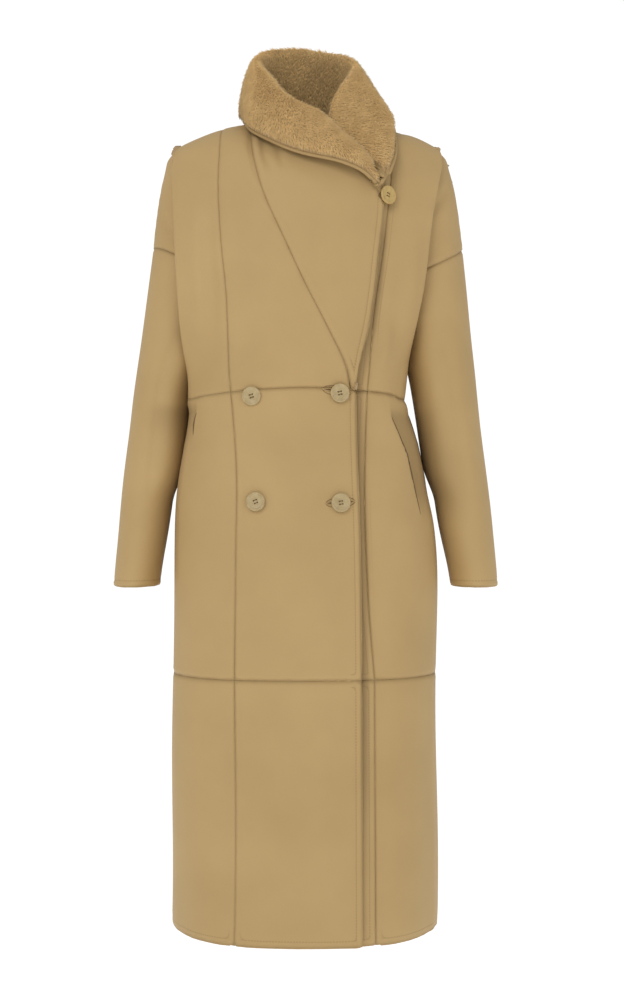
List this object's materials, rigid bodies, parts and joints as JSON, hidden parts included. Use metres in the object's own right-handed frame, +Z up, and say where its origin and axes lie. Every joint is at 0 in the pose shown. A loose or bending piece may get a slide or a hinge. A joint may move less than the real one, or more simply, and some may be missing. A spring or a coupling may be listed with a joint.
{
  "type": "shearling coat",
  "caption": "Long double-breasted shearling coat with a folded fur collar, slanted chest seam and slit pockets, worn form with no wearer.",
  "frame": {"origin": "between the shoulders at the height of the neck base, where the wearer's shoulders and neck carry the coat", "axes": "+Z up, the front looks along -Y, the wearer's left is +X"},
  "size_m": [0.567, 0.3369, 1.3073],
  "materials": {
    "leather": "smooth tan suede-nappa leather with a soft sheen",
    "fur": "short dense tan shearling fur",
    "button": "tan horn-look plastic, half gloss"
  },
  "bodies": {
    "root": {"front_right_side_upper": "leather", "front_right_centre_upper": "leather", "front_right_lapel": "leather", "front_right_side_middle": "leather", "front_right_centre_middle": "leather", "front_right_side_lower": "leather", "front_right_centre_lower": "leather", "front_left_side_upper": "leather", "front_left_centre_upper": "leather", "front_left_side_middle": "leather", "front_left_centre_middle": "leather", "front_left_side_lower": "leather", "front_left_centre_lower": "leather", "back_upper": "leather", "back_middle": "leather", "back_lower": "leather", "sleeve_right": "leather", "sleeve_left": "leather", "collar": "fur", "button_top": "button", "button_waist_right": "button", "button_waist_left": "button", "button_lower_right": "button", "button_lower_left": "button"}
  },
  "joints": []
}
